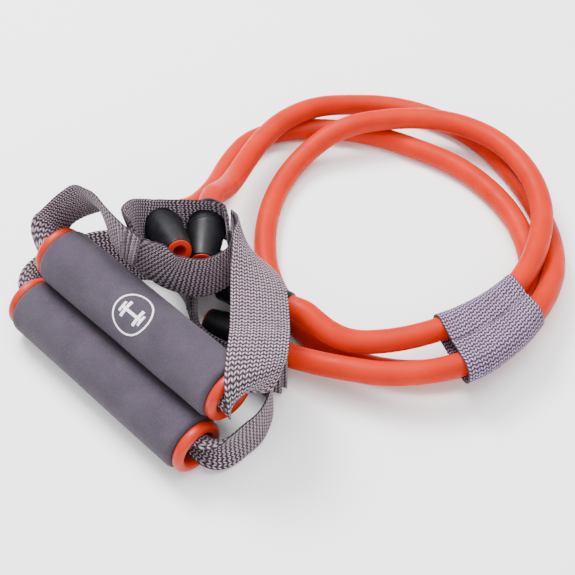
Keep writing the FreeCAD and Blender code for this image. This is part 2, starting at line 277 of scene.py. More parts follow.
def weave_height(s):
    """Height of the webbing's zigzag ribs from its UV: columns across, picks along."""
    uv = s.nodes.new("ShaderNodeUVMap")
    uv.uv_map = "weave"
    split = s.nodes.new("ShaderNodeSeparateXYZ")
    s.plug(uv.outputs["UV"], split.inputs["Vector"])
    zig = s.maths("MULTIPLY", s.maths("PINGPONG", split.outputs["X"], 0.5), 2.0)
    wobble = s.span(s.noise(420, 2), -0.10, 0.10)
    pick = s.maths("ADD", s.maths("MULTIPLY_ADD", zig, ZIGZAG, split.outputs["Y"]), wobble)
    wave = s.maths("MULTIPLY_ADD", s.maths("COSINE", s.maths("MULTIPLY", pick, math.tau)), 0.5, 0.5)
    sine = s.maths("SINE", s.maths("MULTIPLY", split.outputs["X"], math.tau))
    groove = s.maths("MULTIPLY_ADD", s.maths("ABSOLUTE", sine), 0.85, 0.15)
    return s.maths("MULTIPLY", wave, groove)


def webbing(name="grey_webbing", gap_shade=(0.006, 0.004, 0.008), middle=(0.10, 0.073, 0.095),
            light=(0.50, 0.40, 0.45)):
    """Heavy polyester webbing, mauve grey, with painted highlight on top of the ribs and painted
    shade in the gaps between them.
    """
    s = Shader(name, Specular_IOR_Level=0.15, Sheen_Weight=0.05, Sheen_Roughness=0.5)
    height = weave_height(s)
    # Colour from the rib height: the first stop is painted shade in the gaps, the last (light) is
    # painted highlight on the rib tops, and the middle stop is the webbing's own colour.
    yarn_with_painted_light = s.ramp(height, (0.06, gap_shade), (0.38, middle), (0.80, light))
    fuzz = s.span(s.noise(2400, 4), 0.0, 0.35, 0.35, 0.7)
    yarn_with_painted_light = s.blend(fuzz, yarn_with_painted_light, (0.085, 0.064, 0.080, 1))
    worn = s.span(s.noise(35, 3), 0.0, 0.30, 0.45, 0.75)
    s.colour(s.blend(worn, yarn_with_painted_light, (0.050, 0.036, 0.050, 1)))
    s.rough(s.span(s.noise(1500), 0.70, 0.92))
    s.bump(height, 0.0005, 0.6)
    s.bump(s.noise(3500, 4), 0.0001, 0.5)
    return s.material


def thread():
    """Polyester sewing thread."""
    s = Shader("sewing_thread", Specular_IOR_Level=0.3, Sheen_Weight=0.3)
    s.colour(s.ramp(s.noise(900, 4), (0.3, (0.045, 0.034, 0.043)), (0.7, (0.15, 0.12, 0.14))))
    s.rough(s.span(s.noise(1500), 0.6, 0.85))
    s.bump(s.noise(3500, 4), 0.0001, 0.6)
    return s.material


def print_pale():
    """Pale printed mark, a little cracked where the foam has pores."""
    s = Shader("pale_print", Specular_IOR_Level=0.3)
    s.colour(s.ramp(s.noise(1500, 4), (0.25, (0.52, 0.47, 0.54)), (0.5, (0.80, 0.76, 0.82))))
    s.rough(s.span(s.noise(900), 0.6, 0.8))
    s.bump(s.cells(1300), 0.0001, 0.5)
    return s.material


TUBE_MATERIAL = rubber_orange()
RIM_MATERIAL = plastic_orange()
BOOT_MATERIAL = rubber_black()
CORE_MATERIAL = plastic_dark()
FOAM_MATERIAL = foam_grey()
WEB_MATERIAL = webbing()
# Sleeve colours: painted shade in the gaps, its own lilac in the middle, painted highlight on the
# rib tops.
SLEEVE_MATERIAL = webbing("lilac_webbing", (0.014, 0.008, 0.020), (0.120, 0.080, 0.145),
                          (0.48, 0.36, 0.53))
THREAD_MATERIAL = thread()
PRINT_MATERIAL = print_pale()
for tube in (tube_long, tube_short):
    tube.data.materials.append(TUBE_MATERIAL)


def make_piece(name, vertices, faces, material, body, uvs=None):
    """A mesh object in millimetres that rides on a body. uvs holds one (u, v) for each vertex."""
    mesh = bpy.data.meshes.new(name)
    mesh.from_pydata((np.asarray(vertices, float) * MM).tolist(), [], faces)
    mesh.polygons.foreach_set("use_smooth", [True] * len(mesh.polygons))
    if uvs is not None:
        corners = np.empty(len(mesh.loops), np.int32)
        mesh.loops.foreach_get("vertex_index", corners)
        layer = mesh.uv_layers.new(name="weave")
        layer.data.foreach_set("uv", np.asarray(uvs, np.float32)[corners].ravel())
    mesh.validate()
    mesh.set_sharp_from_angle(angle=math.radians(50))
    mesh.materials.append(material)
    piece = bpy.data.objects.new(name, mesh)
    collection.objects.link(piece)
    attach(piece, body)
    return piece


# ---------------------------------------------------------------- webbing
# A station is a place in mm, the direction of the width, and how far it is rolled up, 0 to 1.
# They are the CAD's, except at the upper strap's right-hand bend and at the upper sewn ends.
WEB_WIDTH = 30.0
WEB_THICK = 1.8
CURL_ANGLE = math.radians(235)
WEB_COLUMNS = 10             # zigzag columns across the webbing
WEB_PICK = 2.2               # length of one zigzag row
ACROSS_STEPS = 4             # mesh steps in one column
ALONG_STEPS = 3              # mesh steps in one row
WEAVE_RELIEF = 0.28          # height of the ribs in the mesh
COLUMN_WIDTH = WEB_WIDTH / WEB_COLUMNS
GATHER_RUN = 11.0            # length over which a sewn end is gathered
FAR_GATHER = 0.33            # how much narrower the end gets

UPPER_STRAP = [
    ((-13, 37.5, 69.5), (0, 0.1, -1), 0), ((-22, 36, 72), (0, 0, -1), 0),
    ((-36, 38, 73), (-0.15, 0.09, -0.98), 0), ((-49, 43, 72), (-0.2, 0.36, -0.9), 0),
    ((-61, 45, 67), (0, 0.42, -0.91), 0), ((-71, 40, 58), (0.12, 0.6, -0.79), 0),
    ((-75, 32, 50), (0.06, 0.8, -0.6), 0.3), ((-72, 25, 46), (0, 0.97, -0.25), 0.8),
    ((-64, 22.2, 44.4), (0, 1, 0), 1), ((-30, 22.2, 44.4), (0, 1, 0), 1),
    ((34, 22.2, 44.4), (0, 1, 0), 1), ((67, 22.2, 44.4), (0, 1, 0), 1),
    ((73, 22.6, 44.6), (0.05, 1, 0), 0.8), ((77.5, 24.5, 47.5), (0.15, 0.99, 0), 0.45, 0),
    ((79, 27, 53), (0.25, 0.97, 0), 0.15, 0), ((77.5, 30.5, 58.5), (0.45, 0.89, 0), 0.02, 0),
    ((72, 38, 60.3), (0.62, 0.78, 0), 0, 0.3), ((64, 47.5, 59.8), (0.68, 0.73, 0), 0),
    ((56, 56, 57), (0.64, 0.76, -0.1), 0), ((38, 73, 55), (0.49, 0.81, -0.3), 0),
    ((21.5, 85.5, 53), (0.1, 0.7, -0.7), 0), ((9, 92.5, 49.5), (0, 0.3, -0.95), 0),
    ((-2, 97.6, 48), (0, 0.05, -1), 0), ((-8, 98.8, 47.5), (0, 0, -1), 0)]
UPPER_FRONT_BAND = [
    ((-25, 39.3, 71), (0, 0.15, -1), 0), ((-18, 41, 67), (0, 0.15, -1), 0),
    ((-12, 45, 60), (0, 0.05, -1), 0), ((-3, 50, 52), (0, 0, -1), 0),
    ((8.5, 60, 48), (0, 0, -1), 0), ((12, 74, 46.3), (0, 0, -1), 0),
    ((8.5, 83.5, 46.5), (0, 0, -1), 0), ((1.5, 90.3, 47.3), (0, 0, -1), 0),
    ((-5, 95.3, 48), (0, 0, -1), 0)]
UPPER_BACK_BAND = [
    ((-20, 43.5, 69), (0, 0.15, -1), 0), ((-27.5, 45, 67.5), (0, 0.1, -1), 0),
    ((-34, 52, 61), (0.15, 0, -1), 0), ((-37.5, 61.5, 51.5), (0.3, -0.1, -0.95), 0),
    ((-34.3, 70.5, 47.5), (0.36, -0.18, -0.91), 0), ((-27.5, 80.5, 47), (0.2, -0.1, -0.97), 0),
    ((-18.7, 89.8, 47.5), (0.08, -0.05, -1), 0), ((-14.5, 94, 48), (0, 0, -1), 0),
    ((-10.5, 95.6, 48), (0, 0, -1), 0), ((-6, 93, 48), (0, 0, -1), 0),
    ((0, 88.4, 47.3), (0, 0, -1), 0)]
LOWER_STRAP = [
    ((1, 57.5, 15.6), (0, 0, -1), 0), ((-8, 62.5, 15.6), (0, 0, -1), 0),
    ((-20, 67.5, 15.6), (0, 0, -1), 0), ((-36, 69, 15.6), (0.15, -0.1, -0.98), 0),
    ((-52, 62, 14.6), (0.3, -0.3, -0.88), 0), ((-65, 51, 13.3), (0.45, -0.42, -0.79), 0),
    ((-72, 37, 13), (0.6, -0.2, -0.75), 0), ((-74.5, 22, 14), (0.5, 0, -0.85), 0.1),
    ((-74, 9, 15.5), (0.2, 0, -0.98), 0.5), ((-69, 3.2, 16.5), (0, 0, -1), 0.95),
    ((-62, 3.2, 16.5), (0, 0, -1), 1), ((-30, 3.2, 16.5), (0, 0, -1), 1),
    ((34, 3.2, 16.5), (0, 0, -1), 1), ((64, 3.2, 16.5), (0, 0, -1), 1),
    ((72, 4.5, 16.2), (0, 0, -1), 0.8), ((77.5, 11, 15.7), (0, 0, -1), 0.3),
    ((80.5, 22, 15.6), (0, 0, -1), 0), ((80.3, 31, 15.6), (0, 0, -1), 0),
    ((77.5, 39, 15.6), (0, 0, -1), 0), ((73, 46.5, 15.6), (0, 0, -1), 0),
    ((67, 51.5, 15.6), (0, 0, -1), 0), ((59, 52.5, 15.6), (0, 0, -1), 0),
    ((51, 50.3, 15.6), (0, 0, -1), 0)]
LOWER_FRONT_BAND = [
    ((-16, 69.3, 15.6), (0, 0, -1), 0), ((-8, 65.5, 15.6), (0, 0, -1), 0),
    ((1, 60.5, 15.6), (0, 0, -1), 0), ((10, 51.5, 15.6), (0, 0, -1), 0),
    ((23, 46.5, 15.6), (0, 0, -1), 0), ((36, 48, 15.6), (0, 0, -1), 0),
    ((50, 53, 15.6), (0, 0, -1), 0), ((60, 56.4, 15.6), (0, 0, -1), 0),
    ((67, 60, 15.6), (0, 0, -1), 0)]
LOWER_BACK_BAND = [
    ((-9, 70, 15.6), (0, 0, -1), 0), ((-16, 75, 15.6), (0, 0, -1), 0),
    ((-17, 83, 15.6), (0, 0, -1), 0), ((-10, 89.5, 15.6), (0, 0, -1), 0),
    ((-1, 93.2, 15.2), (0, 0, -1), 0),
    ((7, 94.2, 14.9), (0, 0, -1), 0), ((14.5, 93.4, 22), (0, 0.25, -0.97), 0),
    ((22, 94.2, 27.8), (0, 0.45, -0.89), 0), ((27.5, 94.8, 28.3), (0, 0.5, -0.87), 0),
    ((30.8, 91.5, 27.5), (0, 0.48, -0.88), 0),
    ((32.4, 86.6, 25.4), (-0.02, 0.47, -0.88), 0), ((34.8, 77, 20), (0, 0.35, -0.93), 0),
    ((37.7, 67.5, 15.9), (0, 0.1, -1), 0), ((39.8, 59.8, 15.6), (0, 0, -1), 0),
    ((41.8, 55.8, 15.6), (0, 0, -1), 0), ((45.5, 54.9, 15.6), (0, 0, -1), 0),
    ((52, 57.3, 15.6), (0, 0, -1), 0), ((60, 60.5, 15.6), (0, 0, -1), 0),
    ((67, 64, 15.6), (0, 0, -1), 0)]
BOOTS = {                    # tail, where the tube goes in, and tip
    "upper_left": ((-45, 75, 43), (-5, 58, 60)),
    "upper_right": ((-27, 99, 45), (2, 67, 49)),
    "lower_left": ((44, 90, 27.5), (3, 78, 20)),
    "lower_right": ((49.5, 71, 13.5), (11.2, 59.5, 14.3)),
}


def catmull(values, place):
    """Smooth values between stations, at an array of places counted in stations."""
    last = len(values) - 1
    i = np.minimum(place.astype(int), last - 1)
    t = (place - i)[:, None]
    a = values[np.maximum(i - 1, 0)]
    b = values[i]
    c = values[i + 1]
    d = values[np.minimum(i + 2, last)]
    return 0.5 * (2 * b + (c - a) * t + (2 * a - 5 * b + 4 * c - d) * t ** 2
                  + (3 * b - a - 3 * c + d) * t ** 3)


def units(vectors):
    """Each row at length 1."""
    return vectors / np.linalg.norm(vectors, axis=-1, keepdims=True)


class Web:
    """A length of webbing through its stations, with a surface that stitches can follow.

    A station's fourth value, 1 if left out, is how squarely its width crosses the webbing.
    """

    def __init__(self, stations, gather=0.0):
        centres = np.array([s[0] for s in stations], float)
        widths = np.array([s[1] for s in stations], float)
        curls = np.array([[s[2]] for s in stations], float)
        fine = np.linspace(0, len(stations) - 1, 40 * len(stations))
        square = np.array([[s[3] if len(s) > 3 else 1] for s in stations], float)
        path = catmull(centres, fine)
        run = np.concatenate([[0], np.cumsum(np.linalg.norm(np.diff(path, axis=0), axis=1))])
        self.length = run[-1]
        self.count = int(self.length / WEB_PICK * ALONG_STEPS) + 1
        self.v = np.linspace(0, self.length, self.count)
        place = np.interp(self.v, run, fine)
        self.centre = catmull(centres, place)
        ahead = catmull(centres, np.minimum(place + 0.2, len(stations) - 1))
        back = catmull(centres, np.maximum(place - 0.2, 0))
        along = units(ahead - back)
        width = catmull(widths, place)
        slant = (width * along).sum(1)[:, None] * catmull(square, place)
        self.width = units(width - along * slant)
        self.normal = units(np.cross(along, self.width))
        self.angle = np.maximum(np.clip(catmull(curls, place)[:, 0], 0, 1) * CURL_ANGLE, 0.01)
        self.radius = WEB_WIDTH / self.angle
        self.middle = self.radius * np.sin(self.angle / 2) / (self.angle / 2)
        self.spread = 1 - gather * np.exp(-((self.length - self.v) / GATHER_RUN) ** 2)

    def points(self, row, u, lift):
        """Points at rows (an array), u mm from the middle and lift mm above the middle surface."""
        phi = (self.angle[row] * u * self.spread[row] / WEB_WIDTH)[:, None]
        out = self.width[row] * np.sin(phi) + self.normal[row] * np.cos(phi)
        base = self.centre[row] - self.normal[row] * self.middle[row][:, None]
        return base + out * (self.radius[row] + lift)[:, None]

    def at(self, v, u, lift):
        """One point, v mm along."""
        row = np.array([int(np.clip(round(v / self.length * (self.count - 1)), 0, self.count - 1))])
        return self.points(row, np.array([u]), np.array([lift]))[0]

    def nearest(self, point):
        """Length along the webbing nearest to a point."""
        return self.v[np.argmin(np.linalg.norm(self.centre - np.array(point), axis=1))]


def weave(columns, picks):
    """Height of the ribs, as in the webbing's material."""
    zig = 1 - np.abs(1 - 2 * np.mod(columns, 1))
    wave = 0.5 + 0.5 * np.cos(math.tau * (picks + ZIGZAG * zig))
    return wave * (0.15 + 0.85 * np.abs(np.sin(math.tau * columns)))


def web_layer(web, thick, offset, relief):
    """Vertices, faces and UVs of one layer of webbing."""
    steps = WEB_COLUMNS * ACROSS_STEPS + 1
    u = np.linspace(-WEB_WIDTH / 2, WEB_WIDTH / 2, steps)
    edge = np.abs(2 * u / WEB_WIDTH)
    half = thick / 2 * (1 - 0.45 * edge ** 14)
    columns = (u + WEB_WIDTH / 2) / COLUMN_WIDTH
    around_u = np.concatenate([u, u[::-1]])
    side = np.concatenate([np.ones(steps), -np.ones(steps)])
    around_half = np.concatenate([half, half[::-1]])
    around_columns = np.concatenate([columns, columns[::-1]])
    rows = []
    uvs = []
    for i in range(web.count):
        picks = np.full(2 * steps, web.v[i] / WEB_PICK)
        rib = relief * (weave(around_columns, picks) - 0.5)
        row = np.full(2 * steps, i)
        rows.append(web.points(row, around_u, offset + side * (around_half + rib)))
        uvs.append(np.stack([around_columns, picks], 1))
    ring = 2 * steps
    faces = []
    for i in range(web.count - 1):
        a = i * ring
        b = a + ring
        faces += [(a + j, b + j, b + (j + 1) % ring, a + (j + 1) % ring) for j in range(ring)]
    for start, turn in ((0, 1), ((web.count - 1) * ring, -1)):
        for j in range(steps - 1):
            cap = (start + j, start + j + 1, start + ring - 2 - j, start + ring - 1 - j)
            faces.append(cap[::turn])
    return np.concatenate(rows), faces, np.concatenate(uvs)


def joined(parts):
    """Several (vertices, faces, uvs) as one."""
    vertices = []
    faces = []
    uvs = []
    count = 0
    for v, f, t in parts:
        faces += [tuple(i + count for i in face) for face in f]
        vertices.append(v)
        uvs.append(t)
        count += len(v)
    return np.concatenate(vertices), faces, np.concatenate(uvs)


def rotation_to(direction):
    """Matrix that turns +X to a direction."""
    return np.array(Vector((1, 0, 0)).rotation_difference(Vector(direction)).to_matrix())


def lathe(profile, base, direction, steps=72):
    """Vertices and faces of a closed profile of (along, radius) turned about an axis."""
    turn = rotation_to(direction)
    rows = []
    for along, radius in profile:
        angle = np.arange(steps) * math.tau / steps
        across = (radius * np.cos(angle), radius * np.sin(angle))
        rows.append(np.stack([np.full(steps, along), *across], 1))
    vertices = np.concatenate(rows) @ turn.T + np.array(base, float)
    faces = []
    for i in range(len(profile)):
        a = i * steps
        b = (i + 1) % len(profile) * steps
        faces += [(a + j, b + j, b + (j + 1) % steps, a + (j + 1) % steps) for j in range(steps)]
    return vertices, faces


OPENING_START = 2.0          # along a boot, from its tail
OPENING_LENGTH = 18.0
OPENING_R = 10.7
AXIS_R = 0.01                # a cutter's hollow core, too thin to matter


def cut_openings(piece, names):
    """Cut the openings that boots pass through out of a piece."""
    for name in names:
        tail, tip = (np.array(p, float) for p in BOOTS[name])
        axis = (tip - tail) / np.linalg.norm(tip - tail)
        start = tail + axis * OPENING_START
        outline = [(0, AXIS_R), (OPENING_LENGTH, AXIS_R),
                   (OPENING_LENGTH, OPENING_R), (0, OPENING_R)]
        vertices, faces = lathe(outline, start, axis, 48)
        mesh = bpy.data.meshes.new("cutter")
        mesh.from_pydata((vertices * MM).tolist(), [], faces)
        cutter = bpy.data.objects.new("cutter", mesh)
        collection.objects.link(cutter)
        modifier = piece.modifiers.new("opening", "BOOLEAN")
        modifier.operation = "DIFFERENCE"
        modifier.solver = "EXACT"
        modifier.object = cutter
        bpy.context.view_layer.update()
        evaluated = piece.evaluated_get(bpy.context.evaluated_depsgraph_get())
        cut = bpy.data.meshes.new_from_object(evaluated)
        piece.modifiers.clear()
        piece.data = cut
        bpy.data.objects.remove(cutter)


def make_web(name, stations, node, layers, boots=(), gather=0.0):
    """A strap or band that stands for its CAD node, from its layers' thicknesses and offsets."""
    web = Web(stations, gather)
    relief = WEAVE_RELIEF if len(layers) == 1 else WEAVE_RELIEF / 2
    parts = [web_layer(web, thick, offset, relief) for thick, offset in layers]
    vertices, faces, uvs = joined(parts)
    piece = make_piece(name, vertices, faces, WEB_MATERIAL, "root", uvs)
    if boots:
        cut_openings(piece, boots)
    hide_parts(node)
    return web


# (thickness, offset) of each layer; the ribs add the rest of WEB_THICK
SINGLE = [(WEB_THICK - 0.3, 0.0)]
DOUBLE = [(0.75, 0.5), (0.75, -0.5)]
upper_strap = make_web("upper_strap_webbing", UPPER_STRAP, "upper_strap", SINGLE,
                       gather=FAR_GATHER)
upper_front = make_web("upper_front_band_webbing", UPPER_FRONT_BAND, "upper_pocket_front", SINGLE,
                       gather=FAR_GATHER)
upper_back = make_web("upper_back_band_webbing", UPPER_BACK_BAND, "upper_pocket_back", DOUBLE,
                      ("upper_left", "upper_right"), FAR_GATHER)
lower_strap = make_web("lower_strap_webbing", LOWER_STRAP, "lower_strap", SINGLE)
lower_front = make_web("lower_front_band_webbing", LOWER_FRONT_BAND, "lower_pocket_front", SINGLE)
lower_back = make_web("lower_back_band_webbing", LOWER_BACK_BAND, "lower_pocket_back", DOUBLE,
                      ("lower_left", "lower_right"))

# ---------------------------------------------------------------- stitching
THREAD_R = 0.42
THREAD_SIDES = 6
THREAD_RINGS = ((0, 0.35), (0.2, 0.95), (0.5, 1.0), (0.8, 0.95), (1, 0.35))   # place, thickness
STITCH_SINK = 0.6            # how far a thinned end drops, in threads
STITCH_PROUD = 0.15


def stitch(a, b, up):
    """A short thread from a to b, thick in the middle and pulled in at its ends."""
    along = units(b - a)
    side = np.cross(along, up)
    lift = np.cross(side, along)
    rings = []
    for t, size in THREAD_RINGS:
        centre = a + (b - a) * t + lift * THREAD_R * (size - 1) * STITCH_SINK
        for k in range(THREAD_SIDES):
            angle = math.tau * k / THREAD_SIDES
            out = side * math.cos(angle) + lift * math.sin(angle)
            rings.append(centre + out * THREAD_R * size)
    faces = []
    for i in range(len(THREAD_RINGS) - 1):
        near = i * THREAD_SIDES
        far = near + THREAD_SIDES
        for k in range(THREAD_SIDES):
            n = (k + 1) % THREAD_SIDES
            faces.append((near + k, near + n, far + n, far + k))
    faces.append(tuple(range(THREAD_SIDES - 1, -1, -1)))
    faces.append(tuple(range(len(rings) - THREAD_SIDES, len(rings))))
    return np.array(rings), faces


def sew(name, web, lines, sides=(1, -1)):
    """Stitches along lines of (v, u) points on both faces of a web."""
    parts = []
    for side in sides:
        lift = side * (WEB_THICK / 2 + STITCH_PROUD)
        for line in lines:
            for (v0, u0), (v1, u1) in zip(line, line[1:]):
                a = web.at(v0, u0, lift)
                b = web.at(v1, u1, lift)
                up = units(web.at(v0, u0, lift + side) - a)
                vertices, faces = stitch(a, b, up)
                parts.append((vertices, faces, np.zeros((len(vertices), 2))))
    vertices, faces, _ = joined(parts)
    make_piece(name, vertices, faces, THREAD_MATERIAL, "root")


def bar_tack(v, rows=3, spacing=3.2, reach=12.5, step=1.3, sway=1.0):
    """Zigzag rows across the webbing, starting v mm along it."""
    lines = []
    for row in range(rows):
        count = int(2 * reach / step)
        lines.append([(v + row * spacing + sway * (k % 2 - 0.5), -reach + 2 * reach * k / count)
                      for k in range(count + 1)])
    return lines


def straight_row(v, reach=13.0, step=2.6):
    """One straight row across the webbing."""
    count = int(2 * reach / step)
    return [[(v, -reach + 2 * reach * k / count) for k in range(count + 1)]]


# ---------------------------------------------------------------- grips
LOWER_CENTRE = (0, 0, 16.5)
UPPER_CENTRE = (2, 22.2, 41.3)
GRIP_R = 16.5
GRIP_HALF = 63.0
CORE_R = 11.0
GRIP_BORE_R = 9.4
FOAM_EDGE_R = 2.5
CAP_R = 15.0
CAP_WIDTH = 5.8
CAP_COLLAR = 8.0
GRIP_STEPS = 96              # round a grip
SQUEEZES = 26                # faint hollows in one grip's foam


def arc(along, radial, size, start, end, steps):
    """Profile points of an arc, angles in degrees from +along towards +radius."""
    points = []
    for k in range(steps + 1):
        angle = math.radians(start + (end - start) * k / steps)
        points.append((along + size * math.cos(angle), radial + size * math.sin(angle)))
    return points


def foam_profile():
    """Foam sleeve outline with rounded outer edges and a soft inner edge."""
    inner = CORE_R + 0.15
    half = GRIP_HALF - 0.05
    outline = arc(half - FOAM_EDGE_R, GRIP_R - FOAM_EDGE_R, FOAM_EDGE_R, 0, 90, 6)
    outline += [(half - FOAM_EDGE_R - 1 - k * 3, GRIP_R) for k in range(39)]
    outline += arc(-half + FOAM_EDGE_R, GRIP_R - FOAM_EDGE_R, FOAM_EDGE_R, 90, 180, 6)
    outline += arc(-half + 0.5, inner + 0.5, 0.5, 180, 270, 3)
    outline += arc(half - 0.5, inner + 0.5, 0.5, 270, 360, 3)
    return outline


def cap_profile():
    """Rim outside the foam, with a collar inside it."""
    face = GRIP_HALF + 0.1
    middle = (CAP_R + GRIP_BORE_R) / 2
    belly = face + CAP_WIDTH / 2
    flat = (CAP_R - GRIP_BORE_R) / 2
    turns = [math.radians(angle) for angle in range(-90, 91, 12)]
    outline = [(belly + CAP_WIDTH / 2 * math.cos(turn), middle + flat * math.sin(turn))
               for turn in turns]
    outline += [(face + 0.9, CAP_R - 0.35), (face + 0.25, CAP_R - 1.1), (face, CAP_R - 2.2)]
    outline += [(face, CORE_R), (face - 0.4, CORE_R), (face - CAP_COLLAR, CORE_R),
                (face - CAP_COLLAR, GRIP_BORE_R), (face - 0.4, GRIP_BORE_R)]
    return outline


def dented(vertices, centre, seed):
    """Foam surface with faint hollows, as if squeezed by hands."""
    rng = np.random.default_rng(seed)
    out = vertices.copy()
    radial = vertices - np.array(centre, float)
    radial[:, 0] = 0
    reach = np.linalg.norm(radial, axis=1)
    outward = radial / reach[:, None]
    skin = np.clip((reach - 13.5) / 3, 0, 1)
    for _ in range(SQUEEZES):
        x = rng.uniform(-60, 60)
        angle = rng.uniform(0, math.tau)
        spot = np.array(centre) + np.array([x, GRIP_R * math.cos(angle), GRIP_R * math.sin(angle)])
        near = np.exp(-(np.linalg.norm(vertices - spot, axis=1) / rng.uniform(6, 13)) ** 2)
        out -= outward * (near * skin * rng.uniform(0.05, 0.22))[:, None]
    return out


def make_grip(name, centre, seed):
    """Foam and both end rims of one grip; the core is the CAD's own."""
    body = name + "_grip"
    vertices, faces = lathe(foam_profile(), centre, (1, 0, 0), GRIP_STEPS)
    foam = make_piece(name + "_foam_sleeve", dented(vertices, centre, seed), faces,
                      FOAM_MATERIAL, body)
    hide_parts(name + "_grip_foam")
    for side, sign in (("left", -1), ("right", 1)):
        vertices, faces = lathe(cap_profile(), centre, (1, 0, 0), GRIP_STEPS)
        if sign < 0:
            vertices[:, 0] = 2 * centre[0] - vertices[:, 0]
            faces = [face[::-1] for face in faces]
        rim = make_piece(f"{name}_{side}_rim", vertices, faces, RIM_MATERIAL,
                         body)
        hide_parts(f"{name}_grip_cap_{side}")
    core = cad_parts[name + "_grip_core"]
    core.data.materials.clear()
    core.data.materials.append(CORE_MATERIAL)


make_grip("upper", UPPER_CENTRE, 3)
make_grip("lower", LOWER_CENTRE, 8)

# ---------------------------------------------------------------- boots and tube ends
BOOT_NECK = 8.0
BOOT_FLANGE = 2.4
BOOT_FLANGE_R = 11.8
BOOT_BASE_R = 10.4
BOOT_COLLAR = 9.0
BOOT_NECK_R = 8.6
BOOT_LIP_R = 7.9
BOOT_TIP_R = 7.3
BOOT_LIP_WIDTH = 1.4         # before the first groove, and at the cone's tip
GROOVES = 3
GROOVE_PITCH = 2.1
GROOVE_DEPTH = 0.5
FLANGE_ROUND = 0.7
TIP_ROUND = 0.9
CONE_STEPS = 12
CONE_SWELL = 1.35            # over 1 makes the cone bulge
TUBE_END_PROUD = 0.6


def boot_profile(length):
    """Boot outline: grooved strain relief, flange, collar with a bead, rounded cone."""
    flange = BOOT_NECK + BOOT_FLANGE
    collar = flange + BOOT_COLLAR
    outline = [(0, TUBE_R + 0.05), (0, BOOT_LIP_R - 0.5),
               (0.25, BOOT_LIP_R - 0.15), (0.7, BOOT_LIP_R)]
    for k in range(GROOVES):
        start = BOOT_LIP_WIDTH + GROOVE_PITCH * k
        radius = BOOT_LIP_R + (BOOT_NECK_R - BOOT_LIP_R) * (k + 1) / GROOVES
        bottom = radius - GROOVE_DEPTH
        outline += [(start, radius), (start + 0.9, radius), (start + 1.1, bottom),
                    (start + 1.7, bottom), (start + 1.9, radius)]
    outline += [(BOOT_NECK - 0.1, BOOT_NECK_R), (BOOT_NECK, BOOT_NECK_R + 0.3)]
    outline += [(BOOT_NECK, BOOT_FLANGE_R - FLANGE_ROUND)]
    for along, start in ((BOOT_NECK + FLANGE_ROUND, 180), (flange - FLANGE_ROUND, 90)):
        outline += arc(along, BOOT_FLANGE_R - FLANGE_ROUND, FLANGE_ROUND, start, start - 90, 4)
    outline += [(flange, BOOT_BASE_R + 0.25), (flange + 0.25, BOOT_BASE_R)]
    outline += [(flange + 3, BOOT_BASE_R - 0.05), (collar - 3, BOOT_BASE_R - 0.2)]
    outline += [(collar - 2.0, BOOT_BASE_R - 0.2), (collar - 1.8, BOOT_BASE_R + 0.1),
                (collar - 1.3, BOOT_BASE_R + 0.2), (collar - 0.8, BOOT_BASE_R + 0.1),
                (collar - 0.6, BOOT_BASE_R - 0.3)]
    run = length - BOOT_LIP_WIDTH - collar
    cone_r = BOOT_BASE_R - 0.4
    for k in range(CONE_STEPS + 1):
        t = k / CONE_STEPS
        outline.append((collar + run * t, cone_r - (cone_r - BOOT_TIP_R) * t ** CONE_SWELL))
    outline += arc(length - TIP_ROUND, BOOT_TIP_R - TIP_ROUND, TIP_ROUND, 80, 0, 4)
    outline += [(length, TUBE_R + 0.05)]
    return outline


def tube_end_profile(length):
    """Cut end of the tube inside a boot, with slightly rounded corners."""
    end = length + TUBE_END_PROUD
    outline = [(0, TUBE_BORE_R), (0, TUBE_R)]
    outline += [(end * k / 8, TUBE_R) for k in range(1, 8)]
    outline += arc(end - 0.35, TUBE_R - 0.35, 0.35, 90, 0, 4)
    outline += arc(end - 0.3, TUBE_BORE_R + 0.3, 0.3, 0, -90, 4)
    return outline


def make_boot(name, tail, tip):
    """One boot and the tube end in it."""
    axis = np.array(tip, float) - np.array(tail, float)
    length = float(np.linalg.norm(axis))
    vertices, faces = lathe(boot_profile(length), tail, axis)
    boot = make_piece(name + "_rubber_boot", vertices, faces, BOOT_MATERIAL, "root")
    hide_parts(name + "_boot")
    vertices, faces = lathe(tube_end_profile(length), tail, axis)
    end = make_piece(name + "_cut_tube", vertices, faces, TUBE_MATERIAL, "root")
    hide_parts(name + "_tube_end")


for boot_name, (boot_tail, boot_tip) in BOOTS.items():
    make_boot(boot_name, boot_tail, boot_tip)

sew("upper_near_bar_tack", upper_strap, bar_tack(2.5, 4, 2.8))
sew("upper_far_bar_tack", upper_front, bar_tack(upper_front.nearest((2, 90, 47)), 2))
sew("upper_middle_seam", upper_back, straight_row(upper_back.nearest((-28, 80, 47))))
sew("lower_near_bar_tack", lower_strap, bar_tack(2.5, 4, 2.8))
sew("lower_far_bar_tack", lower_front, bar_tack(lower_front.nearest((58, 55.5, 15.6)), 2))
sew("lower_middle_seam", lower_back, straight_row(lower_back.nearest((36, 73, 18))))

# ---------------------------------------------------------------- keeper sleeve
SLEEVE_STATIONS = [
    ((108.5, 138, 22), (134, 126, 22)), ((112.5, 148, 22), (138, 138, 22)),
    ((116.5, 161, 22), (140, 153, 22)), ((119, 174, 22), (140.5, 168, 22)),
    ((120, 188, 22), (139, 182, 22))]
SLEEVE_R = 7.9
SLEEVE_THICK = 1.25
WAIST = 7.2                  # half height between the tubes
STITCH_DIP = 1.1             # how far the seam pulls the webbing in
STITCH_STEP = 3              # rows of the sleeve's mesh under one stitch
WRAP = 104                   # degrees that the webbing wraps each tube, either way from level
WRAP_STEPS = 24
SPAN_STEPS = 24              # across the flat between the tubes


